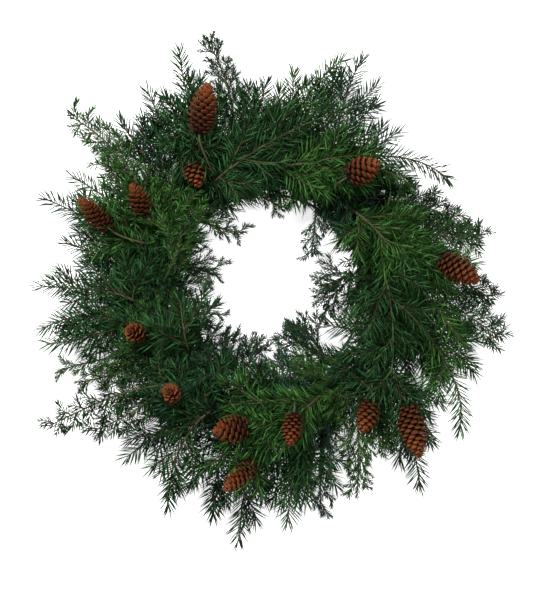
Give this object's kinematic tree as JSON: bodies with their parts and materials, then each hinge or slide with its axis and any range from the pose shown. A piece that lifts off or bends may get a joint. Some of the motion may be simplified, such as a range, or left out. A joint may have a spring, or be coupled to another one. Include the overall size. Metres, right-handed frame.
{
  "type": "fresh evergreen wreath",
  "caption": "Round wreath of mixed evergreen boughs and brown cones, tied with wire into the trough of a ring frame, lying on its back",
  "frame": {"origin": "the ring's centre, on the plane that the wreath's back rests on", "axes": "+Z out of the wreath's front, towards the viewer; +Y up as the wreath is shown; +X to the viewer's right"},
  "size_m": [0.5489, 0.5989, 0.0908],
  "materials": {
    "frame_steel": "satin",
    "binding_wire": "satin",
    "fir_foliage": "matt",
    "juniper_foliage": "matt",
    "hemlock_foliage": "matt",
    "cone_wood": "matt"
  },
  "bodies": {
    "root": {"ring_frame": "frame_steel", "binding_wire": "binding_wire", "fir_bough_01": "fir_foliage", "fir_bough_02": "fir_foliage", "juniper_bough_03": "juniper_foliage", "hemlock_bough_04": "hemlock_foliage", "fir_bough_05": "fir_foliage", "hemlock_bough_06": "hemlock_foliage", "hemlock_bough_07": "hemlock_foliage", "fir_bough_08": "fir_foliage", "juniper_bough_09": "juniper_foliage", "fir_bough_10": "fir_foliage", "fir_bough_11": "fir_foliage", "fir_bough_12": "fir_foliage", "juniper_bough_13": "juniper_foliage", "juniper_bough_14": "juniper_foliage", "juniper_bough_15": "juniper_foliage", "fir_bough_16": "fir_foliage", "fir_bough_17": "fir_foliage", "fir_bough_18": "fir_foliage", "fir_bough_19": "fir_foliage", "fir_bough_20": "fir_foliage", "fir_bough_21": "fir_foliage", "fir_bough_22": "fir_foliage", "juniper_bough_23": "juniper_foliage", "hemlock_bough_24": "hemlock_foliage", "fir_bough_25": "fir_foliage", "juniper_bough_26": "juniper_foliage", "juniper_bough_27": "juniper_foliage", "fir_bough_28": "fir_foliage", "juniper_bough_29": "juniper_foliage", "fir_bough_30": "fir_foliage", "fir_bough_31": "fir_foliage", "juniper_bough_32": "juniper_foliage", "fir_bough_33": "fir_foliage", "fir_bough_34": "fir_foliage", "juniper_bough_35": "juniper_foliage", "hemlock_bough_36": "hemlock_foliage", "fir_bough_37": "fir_foliage", "juniper_bough_38": "juniper_foliage", "fir_bough_39": "fir_foliage", "fir_bough_40": "fir_foliage", "juniper_bough_41": "juniper_foliage", "fir_bough_42": "fir_foliage", "juniper_bough_43": "juniper_foliage", "fir_bough_44": "fir_foliage", "fir_bough_45": "fir_foliage", "cone_01": "cone_wood", "cone_02": "cone_wood", "cone_03": "cone_wood", "cone_04": "cone_wood", "cone_05": "cone_wood", "cone_06": "cone_wood", "cone_07": "cone_wood", "cone_08": "cone_wood", "cone_09": "cone_wood", "cone_10": "cone_wood", "cone_11": "cone_wood", "cone_12": "cone_wood", "cone_13": "cone_wood"}
  },
  "joints": []
}
